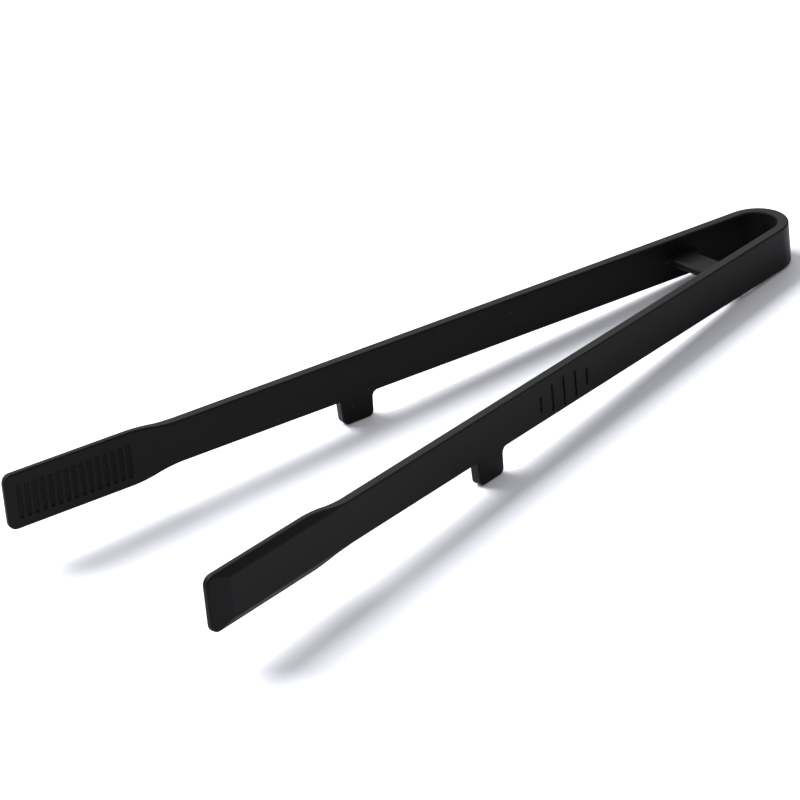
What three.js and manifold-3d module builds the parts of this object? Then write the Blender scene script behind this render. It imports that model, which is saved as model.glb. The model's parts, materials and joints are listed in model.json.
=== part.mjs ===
// Spring loaded kitchen tongs: a stiff nylon core, bent into a U with a bridge web behind its bow,
// under a soft silicone skin that also forms two feet and two ribbed jaws.
// The core and the skin are each parted into a head, two necks and two arms, where the real tongs flex.
//
// Units are millimetres. The level frame has +X towards the jaws, +Y towards the left arm and +Z up,
// with its origin at the centre of the bow, at the height of the arms' lower edge.
// Each arm has a frame of its own: X runs along the arm from where the bow ends, Y is 0 at the middle
// of its thickness, and Z is the level frame's. An offset across an arm is positive towards its outer face.

import * as THREE from 'three';
import { mergeVertices } from 'three/addons/utils/BufferGeometryUtils.js';
import Module from 'manifold-3d';

const wasm = await Module();
wasm.setup();

// The strip that both arms and the bow are made of.
const ARM_WIDTH = 13.7;
const ARM_THICKNESS = 3.6;
const ARM_LENGTH = 264.8;
const BOW_RADIUS = 9.13;
const SPLAY = THREE.MathUtils.degToRad(8.473);

// The skin over the core, and the clearances between pieces.
const SKIN_ON_FACES = 0.7;
const SKIN_ON_EDGES = 1.2;
const FIT_GAP = 0.25;
const SEAM_GAP = 0.3;
const OVERCUT = 2;

// The two places along each arm where it bends, and the room left there for the bend.
const ROOT_FLEX = 42;
const MID_FLEX = 74;
const FLEX_GAP = 0.6;

// The bridge web, by its straight edges and where its concave corners meet the arms.
const WEB_BACK = 18;
const WEB_FRONT = 27;
const WEB_BACK_CORNER = 15;
const WEB_FRONT_CORNER = 29.5;
const WEB_CORNER_REACH = 3;
const WEB_THICKNESS = 2.7;
const WEB_CORE_THICKNESS = 1.2;
const WEB_CORE_INSET = 1.2;

// The feet, on the arms' lower edges.
const FOOT_START = 138.3;
const FOOT_LENGTH = 11.6;
const FOOT_HEIGHT = 8.05;
const FOOT_DRAFT = 0.35;
const FOOT_CORNER = 1.8;
const FOOT_BACK_FILLET = 1.8;
const FOOT_FRONT_FILLET = 0.6;

// The grip slits in each arm's outer face: a middle, a pitch and a length that follows an ellipse.
const SLIT_COUNT = 5;
const SLIT_MIDDLE = 109;
const SLIT_PITCH = 5.45;
const SLIT_HEIGHT = 6.05;
const SLIT_LONGEST = 9.7;
const SLIT_ELLIPSE = 12.8;
const SLIT_WIDTH = 1;
const SLIT_DEPTH = 0.4;

// The jaws: the arm flares above and below. Its outer face stays flat at the arm's own height,
// and slopes away outside two ridges and near the end. A ridge's inset is from the arm's edge.
const JAW_START = 205;
const FLARE_END = 223;
const FLARE = 2.05;
const FLARE_AT_END = 2.25;
const JAW_CORNER = 3;
const RIDGE_INSET_AT_START = 0.05;
const RIDGE_INSET_AT_END = 0.55;
const EDGE_BEVEL_DROP = 1.6;
const END_BEVEL_LENGTH = 8;
const END_BEVEL_DROP = 1.6;
const CORE_END = 248;

// The ribs across each jaw's gripping face, as the grooves between them.
const GROOVE_COUNT = 15;
const GROOVE_FROM_END = 4.6;
const GROOVE_PITCH = 2.643;
const GROOVE_WIDTH = 1.06;
const GROOVE_LENGTH = 11.2;
const GROOVE_HEIGHT = 6.45;
const GROOVE_DEPTH = 0.4;

const BOW_SEGMENTS = 28;
const CORNER_SEGMENTS = 6;
const HALF = ARM_THICKNESS / 2;
const SKIN_CAVITY = HALF - SKIN_ON_FACES;
const CORE_HALF = SKIN_CAVITY - FIT_GAP;
const CORE_LOW = SKIN_ON_EDGES + FIT_GAP;
const CORE_HIGH = ARM_WIDTH - CORE_LOW;
const MIDDLE = ARM_WIDTH / 2;
const SIDES = { left: 1, right: -1 };

// Turns a closed geometry into a solid that can be cut or joined.
function toSolid(geometry) {
  const bare = geometry.clone();
  bare.deleteAttribute('normal');
  bare.deleteAttribute('uv');
  const merged = mergeVertices(bare, 1e-4);
  const vertProperties = new Float32Array(merged.attributes.position.array);
  const triVerts = new Uint32Array(merged.index.array);
  return new wasm.Manifold(new wasm.Mesh({ numProp: 3, vertProperties, triVerts }));
}

// Makes the named mesh of one sub-part from a solid.
function toMesh(name, solid, material) {
  const { vertProperties, triVerts } = solid.getMesh();
  const geometry = new THREE.BufferGeometry();
  geometry.setAttribute('position', new THREE.BufferAttribute(vertProperties, 3));
  geometry.setIndex(new THREE.BufferAttribute(triVerts, 1));
  geometry.computeVertexNormals();
  const mesh = new THREE.Mesh(geometry, material);
  mesh.name = name;
  return mesh;
}

function silicone() {
  return new THREE.MeshStandardMaterial({ color: 0x2c2c2e, roughness: 0.6, metalness: 0 });
}

function nylon() {
  return new THREE.MeshStandardMaterial({ color: 0x17171a, roughness: 0.45, metalness: 0 });
}

// A plan outline raised between two heights.
function raised(shape, low, high, curveSegments) {
  const options = { depth: high - low, bevelEnabled: false, curveSegments };
  const geometry = new THREE.ExtrudeGeometry(shape, options);
  geometry.translate(0, 0, low);
  return toSolid(geometry);
}

// A side outline, X along the arm and Y up, carried across the arm between two offsets.
function across(shape, side, inner, outer) {
  const options = { depth: outer - inner, bevelEnabled: false, curveSegments: CORNER_SEGMENTS };
  const geometry = new THREE.ExtrudeGeometry(shape, options);
  geometry.rotateX(Math.PI / 2);
  geometry.translate(0, side > 0 ? outer : -inner, 0);
  return toSolid(geometry);
}

function rectangle(start, end, low, high) {
  const shape = new THREE.Shape();
  shape.moveTo(start, low);
  shape.lineTo(end, low);
  shape.lineTo(end, high);
  shape.lineTo(start, high);
  shape.closePath();
  return shape;
}

// A block that covers everything beyond the plane through three points, on the side of `beyond`.
function blockBeyond(a, b, c, beyond) {
  const size = 120;
  const normal = b.clone().sub(a).cross(c.clone().sub(a)).normalize();
  if (normal.dot(beyond.clone().sub(a)) < 0) {
    normal.negate();
  }
  const geometry = new THREE.BoxGeometry(size, size, size);
  geometry.translate(0, 0, size / 2);
  const turn = new THREE.Quaternion().setFromUnitVectors(new THREE.Vector3(0, 0, 1), normal);
  geometry.applyQuaternion(turn);
  geometry.translate(a.x, a.y, a.z);
  return toSolid(geometry);
}

// Level-frame plan point at a distance along an arm and an offset across it.
function armPoint(along, offset, side) {
  const radius = BOW_RADIUS + offset;
  const x = along * Math.cos(SPLAY) - radius * Math.sin(SPLAY);
  const y = along * Math.sin(SPLAY) + radius * Math.cos(SPLAY);
  return new THREE.Vector2(x, side * y);
}

// Level-frame Y of the left arm's surface at an offset, where the surface passes a given X.
function wallY(x, offset) {
  const radius = BOW_RADIUS + offset;
  const along = (x + radius * Math.sin(SPLAY)) / Math.cos(SPLAY);
  return armPoint(along, offset, SIDES.left).y;
}

// Plan outline of a strip that follows the bow and both arms as far as `leg`, `half` to each side.
function bowStrip(half, leg) {
  const start = Math.PI / 2 + SPLAY;
  const end = 3 * Math.PI / 2 - SPLAY;
  const shape = new THREE.Shape();
  const innerLeft = armPoint(leg, -half, SIDES.left);
  const outerLeft = armPoint(leg, half, SIDES.left);
  const outerRight = armPoint(leg, half, SIDES.right);
  const innerRight = armPoint(leg, -half, SIDES.right);
  shape.moveTo(innerLeft.x, innerLeft.y);
  shape.lineTo(outerLeft.x, outerLeft.y);
  shape.absarc(0, 0, BOW_RADIUS + half, start, end, false);
  shape.lineTo(outerRight.x, outerRight.y);
  shape.lineTo(innerRight.x, innerRight.y);
  shape.absarc(0, 0, BOW_RADIUS - half, end, start, true);
  shape.closePath();
  return shape;
}

// The web's core plate, from the middle of one arm to the middle of the other, grown by a gap.
function webPlate(gap) {
  const back = WEB_BACK + WEB_CORE_INSET - gap;
  const front = WEB_FRONT - WEB_CORE_INSET + gap;
  const shape = new THREE.Shape();
  shape.moveTo(back, -wallY(back, 0));
  shape.lineTo(front, -wallY(front, 0));
  shape.lineTo(front, wallY(front, 0));
  shape.lineTo(back, wallY(back, 0));
  shape.closePath();
  return raised(shape, MIDDLE - WEB_CORE_THICKNESS / 2 - gap, MIDDLE + WEB_CORE_THICKNESS / 2 + gap, 1);
}

// Plan outline of the web's skin: straight in the middle, with concave corners against the arms.
function webOutline() {
  const offset = -HALF - SEAM_GAP;
  const backSide = wallY(WEB_BACK, offset);
  const frontSide = wallY(WEB_FRONT, offset);
  const backCorner = wallY(WEB_BACK_CORNER, offset);
  const frontCorner = wallY(WEB_FRONT_CORNER, offset);
  const shape = new THREE.Shape();
  shape.moveTo(WEB_BACK, WEB_CORNER_REACH - backSide);
  shape.quadraticCurveTo(WEB_BACK, -backSide, WEB_BACK_CORNER, -backCorner);
  shape.lineTo(WEB_FRONT_CORNER, -frontCorner);
  shape.quadraticCurveTo(WEB_FRONT, -frontSide, WEB_FRONT, WEB_CORNER_REACH - frontSide);
  shape.lineTo(WEB_FRONT, frontSide - WEB_CORNER_REACH);
  shape.quadraticCurveTo(WEB_FRONT, frontSide, WEB_FRONT_CORNER, frontCorner);
  shape.lineTo(WEB_BACK_CORNER, backCorner);
  shape.quadraticCurveTo(WEB_BACK, backSide, WEB_BACK, backSide - WEB_CORNER_REACH);
  shape.closePath();
  return shape;
}

// The core's U and its web plate, one nylon piece that stores the spring force.
function bowCore() {
  const strip = raised(bowStrip(CORE_HALF, ROOT_FLEX - FLEX_GAP / 2), CORE_LOW, CORE_HIGH, BOW_SEGMENTS);
  return toMesh('spring_bow_core', strip.add(webPlate(0)), nylon());
}

// The skin around the bow, hollow for the core, with a window in each inner wall for the web plate.
function bowSkin() {
  const leg = ROOT_FLEX - FLEX_GAP / 2;
  const outside = raised(bowStrip(HALF, leg), 0, ARM_WIDTH, BOW_SEGMENTS);
  const strip = bowStrip(SKIN_CAVITY, leg + OVERCUT);
  const cavity = raised(strip, SKIN_ON_EDGES, ARM_WIDTH - SKIN_ON_EDGES, BOW_SEGMENTS);
  return toMesh('spring_bow_skin', outside.subtract(cavity).subtract(webPlate(FIT_GAP)), silicone());
}

// The skin around the web plate, open at both arms.
function webSkin() {
  const low = MIDDLE - WEB_THICKNESS / 2;
  const outside = raised(webOutline(), low, low + WEB_THICKNESS, CORNER_SEGMENTS);
  return toMesh('bridge_web_skin', outside.subtract(webPlate(FIT_GAP)), silicone());
}

// A straight stretch of core along an arm.
function coreBar(name, start, end) {
  const bar = across(rectangle(start, end, CORE_LOW, CORE_HIGH), SIDES.left, -CORE_HALF, CORE_HALF);
  return toMesh(name, bar, nylon());
}

// The room inside an arm's skin for its core.
function coreCavity(start, end) {
  const shape = rectangle(start, end, SKIN_ON_EDGES, ARM_WIDTH - SKIN_ON_EDGES);
  return across(shape, SIDES.left, -SKIN_CAVITY, SKIN_CAVITY);
}

// A straight stretch of skin, open at both ends.
function skinSleeve(start, end) {
  const outside = across(rectangle(start, end, 0, ARM_WIDTH), SIDES.left, -HALF, HALF);
  return outside.subtract(coreCavity(start - OVERCUT, end + OVERCUT));
}

// One round-ended slit in an arm's outer face. The slits shorten away from the middle one.
function gripSlit(index, side) {
  const fromMiddle = (index - (SLIT_COUNT - 1) / 2) * SLIT_PITCH;
  const middle = SLIT_MIDDLE + fromMiddle;
  const length = SLIT_LONGEST * Math.sqrt(1 - (fromMiddle / SLIT_ELLIPSE) ** 2);
  const radius = SLIT_WIDTH / 2;
  const rise = length / 2 - radius;
  const shape = new THREE.Shape();
  shape.absarc(middle, SLIT_HEIGHT + rise, radius, 0, Math.PI, false);
  shape.absarc(middle, SLIT_HEIGHT - rise, radius, Math.PI, 2 * Math.PI, false);
  return across(shape, side, HALF - SLIT_DEPTH, HALF + OVERCUT);
}

// The arm's skin from the second bend to the jaw, with the grip slits.
function armSkin(name, side) {
  let skin = skinSleeve(MID_FLEX + FLEX_GAP / 2, JAW_START - SEAM_GAP / 2);
  for (let index = 0; index < SLIT_COUNT; index += 1) {
    skin = skin.subtract(gripSlit(index, side));
  }
  return toMesh(`${name}_arm_skin`, skin, silicone());
}

// The foot, as thick as the arm, with a wide fillet towards the bow and a tight one towards the jaw.
function foot(name) {
  const back = FOOT_START;
  const front = FOOT_START + FOOT_LENGTH;
  const top = -SEAM_GAP;
  const shape = new THREE.Shape();
  shape.moveTo(back - FOOT_BACK_FILLET, top);
  shape.quadraticCurveTo(back, top, back, top - FOOT_BACK_FILLET);
  shape.lineTo(back + FOOT_DRAFT, FOOT_CORNER - FOOT_HEIGHT);
  shape.quadraticCurveTo(back + FOOT_DRAFT, -FOOT_HEIGHT, back + FOOT_DRAFT + FOOT_CORNER, -FOOT_HEIGHT);
  shape.lineTo(front - FOOT_DRAFT - FOOT_CORNER, -FOOT_HEIGHT);
  shape.quadraticCurveTo(front - FOOT_DRAFT, -FOOT_HEIGHT, front - FOOT_DRAFT, FOOT_CORNER - FOOT_HEIGHT);
  shape.lineTo(front, top - FOOT_FRONT_FILLET);
  shape.quadraticCurveTo(front, top, front + FOOT_FRONT_FILLET, top);
  shape.closePath();
  return toMesh(`${name}_foot`, across(shape, SIDES.left, -HALF, HALF), silicone());
}

// Side outline of the jaw: an S-shaped flare, a slow taper outwards, and rounded end corners.
function jawOutline() {
  const start = JAW_START + SEAM_GAP / 2;
  const ease = (FLARE_END - start) / 2;
  const turn = ARM_LENGTH - JAW_CORNER;
  const low = -FLARE_AT_END;
  const high = ARM_WIDTH + FLARE_AT_END;
  const shape = new THREE.Shape();
  shape.moveTo(start, 0);
  shape.bezierCurveTo(start + ease, 0, start + ease, -FLARE, FLARE_END, -FLARE);
  shape.lineTo(turn, low);
  shape.quadraticCurveTo(ARM_LENGTH, low, ARM_LENGTH, low + JAW_CORNER);
  shape.lineTo(ARM_LENGTH, high - JAW_CORNER);
  shape.quadraticCurveTo(ARM_LENGTH, high, turn, high);
  shape.lineTo(FLARE_END, ARM_WIDTH + FLARE);
  shape.bezierCurveTo(start + ease, ARM_WIDTH + FLARE, start + ease, ARM_WIDTH, start, ARM_WIDTH);
  shape.closePath();
  return shape;
}

// What a bevel removes from a jaw's outer face along its upper (up 1) or lower (up -1) edge.
function edgeBevel(side, up) {
  const outer = side * HALF;
  const edge = MIDDLE + up * (MIDDLE + FLARE_AT_END);
  const start = new THREE.Vector3(JAW_START, outer, MIDDLE + up * (MIDDLE - RIDGE_INSET_AT_START));
  const ridge = new THREE.Vector3(ARM_LENGTH, outer, MIDDLE + up * (MIDDLE - RIDGE_INSET_AT_END));
  const rim = new THREE.Vector3(ARM_LENGTH, outer - side * EDGE_BEVEL_DROP, edge);
  const beyond = new THREE.Vector3(ARM_LENGTH, outer, edge);
  return blockBeyond(start, ridge, rim, beyond);
}

// What a bevel removes from a jaw's outer face at its end.
function endBevel(side) {
  const outer = side * HALF;
  const ridgeLow = new THREE.Vector3(ARM_LENGTH - END_BEVEL_LENGTH, outer, 0);
  const ridgeHigh = new THREE.Vector3(ARM_LENGTH - END_BEVEL_LENGTH, outer, ARM_WIDTH);
  const rim = new THREE.Vector3(ARM_LENGTH, outer - side * END_BEVEL_DROP, MIDDLE);
  const beyond = new THREE.Vector3(ARM_LENGTH, outer, MIDDLE);
  return blockBeyond(ridgeLow, ridgeHigh, rim, beyond);
}

// One groove across the gripping face. The ribs are what stands between the grooves.
function ribGroove(index, side) {
  const middle = ARM_LENGTH - GROOVE_FROM_END - index * GROOVE_PITCH;
  const low = GROOVE_HEIGHT - GROOVE_LENGTH / 2;
  const shape = rectangle(middle - GROOVE_WIDTH / 2, middle + GROOVE_WIDTH / 2, low, low + GROOVE_LENGTH);
  return across(shape, side, -HALF - OVERCUT, GROOVE_DEPTH - HALF);
}

// The jaw's skin, hollow for the end of the arm's core and open towards the arm.
function jawSkin(name, side) {
  let jaw = across(jawOutline(), side, -HALF, HALF);
  jaw = jaw.subtract(edgeBevel(side, 1)).subtract(edgeBevel(side, -1)).subtract(endBevel(side));
  jaw = jaw.subtract(coreCavity(JAW_START - OVERCUT, CORE_END + FIT_GAP));
  for (let index = 0; index < GROOVE_COUNT; index += 1) {
    jaw = jaw.subtract(ribGroove(index, side));
  }
  return toMesh(`${name}_jaw_skin`, jaw, silicone());
}

// One arm with its neck, foot and jaw, in the arm's own frame and set against the bow.
function arm(name) {
  const side = SIDES[name];
  const group = new THREE.Group();
  const neckStart = ROOT_FLEX + FLEX_GAP / 2;
  const neckEnd = MID_FLEX - FLEX_GAP / 2;
  const armStart = MID_FLEX + FLEX_GAP / 2;
  group.add(toMesh(`${name}_neck_skin`, skinSleeve(neckStart, neckEnd), silicone()));
  group.add(coreBar(`${name}_neck_core`, neckStart, neckEnd));
  group.add(armSkin(name, side));
  group.add(coreBar(`${name}_arm_core`, armStart, CORE_END));
  group.add(foot(name));
  group.add(jawSkin(name, side));
  const root = armPoint(0, 0, side);
  group.position.set(root.x, root.y, 0);
  group.rotation.z = side * SPLAY;
  return group;
}

// The tongs stand on the bow's lower rim and the bow-side corners of both feet, with the jaws raised.
function standingPitch() {
  const footCorner = armPoint(FOOT_START + FOOT_DRAFT + FOOT_CORNER, 0, SIDES.left).x;
  return Math.atan2(FOOT_HEIGHT, footCorner + BOW_RADIUS + HALF);
}

const tongs = new THREE.Group();
tongs.add(bowCore());
tongs.add(bowSkin());
tongs.add(webSkin());
for (const name of Object.keys(SIDES)) {
  tongs.add(arm(name));
}
tongs.rotation.y = -standingPitch();
tongs.updateMatrixWorld(true);

// The origin is under the middle of the tongs, on the surface they stand on.
const box = new THREE.Box3().setFromObject(tongs, true);
const middle = box.getCenter(new THREE.Vector3());
tongs.position.set(-middle.x, -middle.y, -box.min.z);

export default tongs;
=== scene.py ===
"""Looks of a pair of spring loaded kitchen tongs: black silicone over a stiff nylon core.

Shapes are drawn in millimetres in one of two frames. The level frame has +X towards the jaws, +Y towards the
left arm, +Z up, and its origin at the centre of the bow, at the height of the arms' lower edge. An arm's own
frame has X along the arm from where the bow ends, Y across it towards its outer face, and the same Z.
"""

import json
import logging
import math
from dataclasses import dataclass, field, replace
from enum import Enum
from typing import Callable, Iterable

import bmesh
import bpy
from bmesh.types import BMEdge, BMesh, BMFace, BMVert
from mathutils import Matrix, Vector


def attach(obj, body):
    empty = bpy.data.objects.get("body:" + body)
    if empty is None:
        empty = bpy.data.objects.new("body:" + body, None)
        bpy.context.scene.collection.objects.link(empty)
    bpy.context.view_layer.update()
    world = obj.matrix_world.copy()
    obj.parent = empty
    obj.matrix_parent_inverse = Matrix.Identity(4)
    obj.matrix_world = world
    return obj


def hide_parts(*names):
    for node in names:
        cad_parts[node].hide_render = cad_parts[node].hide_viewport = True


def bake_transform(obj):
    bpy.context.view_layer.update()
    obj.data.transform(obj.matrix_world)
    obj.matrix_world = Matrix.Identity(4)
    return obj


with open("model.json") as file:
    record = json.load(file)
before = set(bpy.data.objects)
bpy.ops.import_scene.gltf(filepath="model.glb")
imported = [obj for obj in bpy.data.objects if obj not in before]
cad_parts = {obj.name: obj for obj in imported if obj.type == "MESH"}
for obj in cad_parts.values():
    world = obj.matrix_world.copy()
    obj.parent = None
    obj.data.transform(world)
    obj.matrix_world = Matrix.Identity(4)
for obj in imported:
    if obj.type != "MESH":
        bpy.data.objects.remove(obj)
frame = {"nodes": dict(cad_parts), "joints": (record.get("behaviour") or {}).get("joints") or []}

MILLIMETRE = 0.001
WORN_EDGE = "worn_edge"  # the attribute that marks rounded edges
SHARP_ANGLE = math.radians(50)  # the faces' angle from which an edge is shaded hard
LIP_ANGLE = math.radians(35)  # the faces' angle from which an edge is a cut's lip
FACE_WEIGHT = 80  # how much larger faces count in the shading, up to 100
MERGE_DISTANCE = 2e-7  # metres
LEVEL_GAP = 1e-4  # the most that two points at one height differ by
TOUCH_GAP = 1e-3  # how near a face a point on it lies

log = logging.getLogger("tongs")


class Side(Enum):
    """The two arms, with the sign of the side that each is on."""

    LEFT = 1
    RIGHT = -1

    @property
    def label(self) -> str:
        """The word that the arm's names start with."""
        return self.name.lower()


class Bend(Enum):
    """The two places where an arm bends, from the bow outwards."""

    ROOT = "root"
    MID = "mid"


class Slot(Enum):
    """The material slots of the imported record."""

    SKIN = "silicone_skin"
    JAW = "silicone_jaw"
    CORE = "nylon_core"


# ---------------------------------------------------------------- mesh helpers


def grow(bm: BMesh, faces: Iterable[BMFace], step: Matrix) -> list[BMFace]:
    """Extrudes faces and moves the new ones.

    Args:
        bm: The mesh being built.
        faces: The faces to extrude.
        step: The move from the old faces to the new ones.

    Returns:
        The new end faces.
    """
    made = bmesh.ops.extrude_face_region(bm, geom=list(faces))["geom"]
    bmesh.ops.transform(bm, matrix=step, verts=[item for item in made if isinstance(item, BMVert)])
    return [item for item in made if isinstance(item, BMFace)]


def outline_face(bm: BMesh, points: Iterable[tuple[float, float]]) -> tuple[list[BMVert], BMFace]:
    """Draws a flat outline in X and Z, and returns its corners and the face between them."""
    corners = [bm.verts.new((x, 0.0, z)) for x, z in points]
    return corners, bm.faces.new(corners)


def round_corner(bm: BMesh, corner: BMVert, reach: float, segments: int) -> None:
    """Rounds one corner of a flat outline, with a curve that starts a reach from it."""
    bmesh.ops.bevel(bm, geom=[corner], offset=reach, offset_type="OFFSET", segments=segments, profile=0.5,
                    affect="VERTICES", material=-1)


def round_edges(bm: BMesh, edges: list[BMEdge], reach: float, segments: int) -> None:
    """Rounds edges of a solid, with curves that start a reach from them."""
    bmesh.ops.bevel(bm, geom=edges, offset=reach, offset_type="OFFSET", segments=segments, profile=0.5,
                    affect="EDGES", material=-1)


def block(bm: BMesh, low: Vector, high: Vector) -> list[BMVert]:
    """Adds a box between two corners and returns its vertices."""
    place = Matrix.Translation((low + high) / 2) @ Matrix.Diagonal((*(high - low), 1.0))
    return bmesh.ops.create_cube(bm, size=1.0, matrix=place)["verts"]


def capsule(bm: BMesh, middle: Vector, length: float, radius: float) -> None:
    """Adds an upright round-ended rod.

    Args:
        bm: The mesh being built.
        middle: The rod's middle.
        length: Its length over both round ends.
        radius: Its radius.
    """
    rod = bmesh.ops.create_uvsphere(bm, u_segments=16, v_segments=9, radius=radius)["verts"]
    for end in (1, -1):
        half = [vert for vert in rod if vert.co.z * end > 0]
        bmesh.ops.translate(bm, verts=half, vec=(0.0, 0.0, end * (length / 2 - radius)))
    bmesh.ops.translate(bm, verts=rod, vec=middle)


def mark_edges(mesh: bpy.types.Mesh, along: Vector | None, up: Vector) -> None:
    """Stores where a mesh turns a rounded edge, as an attribute from 0 on its faces to 1 on its edges.

    Args:
        mesh: The finished mesh.
        along: The piece's own direction, or None where it curves round.
        up: The direction of its upper face.
    """
    flattest = [0.0] * len(mesh.vertices)
    for loop, normal in zip(mesh.loops, mesh.corner_normals):
        rise = normal.vector.dot(up) ** 2
        run = 0.0 if along is None else normal.vector.dot(along) ** 2
        flattest[loop.vertex_index] = max(flattest[loop.vertex_index], rise, run, 1 - rise - run)
    mark = mesh.attributes.new(WORN_EDGE, "FLOAT", "POINT")
    for vert, flat in zip(mark.data, flattest):
        vert.value = min(1.0, 2.0 * (1 - flat))


def make_piece(bm: BMesh, name: str, place: Matrix, along: Vector | None = None) -> bpy.types.Object:
    """Turns a finished mesh into a named piece in the row frame.

    Args:
        bm: The mesh, in millimetres. It is freed.
        name: The piece's name.
        place: The move from the mesh's frame to the row frame.
        along: The piece's own direction in the mesh's frame, or None where it curves round.

    Returns:
        The piece, at the origin, with its place in its mesh.
    """
    bmesh.ops.transform(bm, matrix=place, verts=bm.verts)
    bmesh.ops.remove_doubles(bm, verts=bm.verts, dist=MERGE_DISTANCE)
    bmesh.ops.recalc_face_normals(bm, faces=bm.faces)
    for face in bm.faces:
        face.smooth = True
    for edge in bm.edges:
        edge.smooth = len(edge.link_faces) == 2 and edge.calc_face_angle(0.0) < SHARP_ANGLE
    mesh = bpy.data.meshes.new(name)
    bm.to_mesh(mesh)
    bm.free()
    turn = place.to_3x3()
    heading = None if along is None else (turn @ along).normalized()
    mark_edges(mesh, heading, (turn @ Vector((0.0, 0.0, 1.0))).normalized())
    piece = bpy.data.objects.new(name, mesh)
    bpy.context.scene.collection.objects.link(piece)
    finish = piece.modifiers.new("even_faces", "WEIGHTED_NORMAL")
    finish.keep_sharp = True
    finish.weight = FACE_WEIGHT
    return piece


def carve(bm: BMesh, cutters: Iterable[BMesh]) -> BMesh:
    """Cuts solids out of a solid.

    Args:
        bm: The solid to cut. It is freed.
        cutters: The solids to take away. They are freed.

    Returns:
        The solid that is left.
    """
    scene = bpy.context.scene
    body = bpy.data.objects.new("carved", bpy.data.meshes.new("carved"))
    bmesh.ops.recalc_face_normals(bm, faces=bm.faces)
    bm.to_mesh(body.data)
    bm.free()
    scene.collection.objects.link(body)
    tools = []
    for cutter in cutters:
        tool = bpy.data.objects.new("cutter", bpy.data.meshes.new("cutter"))
        bmesh.ops.recalc_face_normals(cutter, faces=cutter.faces)
        cutter.to_mesh(tool.data)
        cutter.free()
        scene.collection.objects.link(tool)
        cut = body.modifiers.new("cut", "BOOLEAN")
        cut.operation = "DIFFERENCE"
        cut.solver = "EXACT"
        cut.object = tool
        tools.append(tool)
    graph = bpy.context.evaluated_depsgraph_get()
    left = bmesh.new()
    left.from_object(body, graph)
    for spent in (body, *tools):
        mesh = spent.data
        bpy.data.objects.remove(spent)
        bpy.data.meshes.remove(mesh)
    return left


def soften_lips(bm: BMesh, on_lip: Callable[[Vector], bool], reach: float) -> None:
    """Rounds the sharp edges of the cuts in one flat face.

    Args:
        bm: The mesh being built.
        on_lip: Says whether a point lies on the face, within the cuts' area.
        reach: How far the rounding reaches from each edge.
    """
    lips = [edge for edge in bm.edges
            if all(on_lip(vert.co) for vert in edge.verts)
            and len(edge.link_faces) == 2 and edge.calc_face_angle(0.0) > LIP_ANGLE]
    round_edges(bm, lips, reach, 2)


# ---------------------------------------------------------------- the frame and the strip


@dataclass(frozen=True)
class Setting:
    """Where the tongs' own frames lie in the row frame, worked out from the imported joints."""

    origin: Vector  # the level frame's origin, in metres
    forward: Vector  # its X direction
    up: Vector  # its Z direction
    splay: float  # the angle between each arm and the level frame's X
    bow_radius: float  # the radius of the bow at the middle of the strip, in millimetres

    @classmethod
    def from_joints(cls, root_along: float, height: float) -> "Setting":
        """Reads the setting off the hinges that stand for the bends.

        Args:
            root_along: How far along an arm its first hinge is, in millimetres.
            height: How high the hinges are above the arm's lower edge, in millimetres.

        Returns:
            The setting.
        """
        joints = {joint["name"]: joint for joint in frame["joints"]}
        root = Vector(joints["left_root_flex"]["pos_m"])
        mid = Vector(joints["left_mid_flex"]["pos_m"])
        up = -Vector(joints["left_root_flex"]["axis"]).normalized()
        forward = Vector((0.0, 1.0, 0.0)).cross(up)
        along = (mid - root).normalized()
        splay = math.atan2(along.y, along.dot(forward))
        radius = (root.y / MILLIMETRE - root_along * math.sin(splay)) / math.cos(splay)
        run = root_along * math.cos(splay) - radius * math.sin(splay)
        middle = Vector((root.x, 0.0, root.z))
        origin = middle - (forward * run + up * height) * MILLIMETRE
        return cls(origin, forward, up, splay, radius)

    def level(self) -> Matrix:
        """The move from the level frame to the row frame.

        Returns:
            The move, which also turns millimetres into metres.
        """
        left = self.up.cross(self.forward)
        turn = Matrix((self.forward, left, self.up)).transposed().to_4x4()
        return Matrix.Translation(self.origin) @ turn @ Matrix.Scale(MILLIMETRE, 4)

    def arm_in_level(self, side: Side) -> Matrix:
        """The move from an arm's frame to the level frame.

        Args:
            side: The arm.

        Returns:
            The move, mirrored for the right arm.
        """
        root = Vector((-math.sin(self.splay), math.cos(self.splay), 0.0)) * self.bow_radius
        left = Matrix.Translation(root) @ Matrix.Rotation(self.splay, 4, "Z")
        return Matrix.Diagonal((1.0, float(side.value), 1.0, 1.0)) @ left

    def arm(self, side: Side) -> Matrix:
        """The move from an arm's frame to the row frame."""
        return self.level() @ self.arm_in_level(side)


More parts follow.
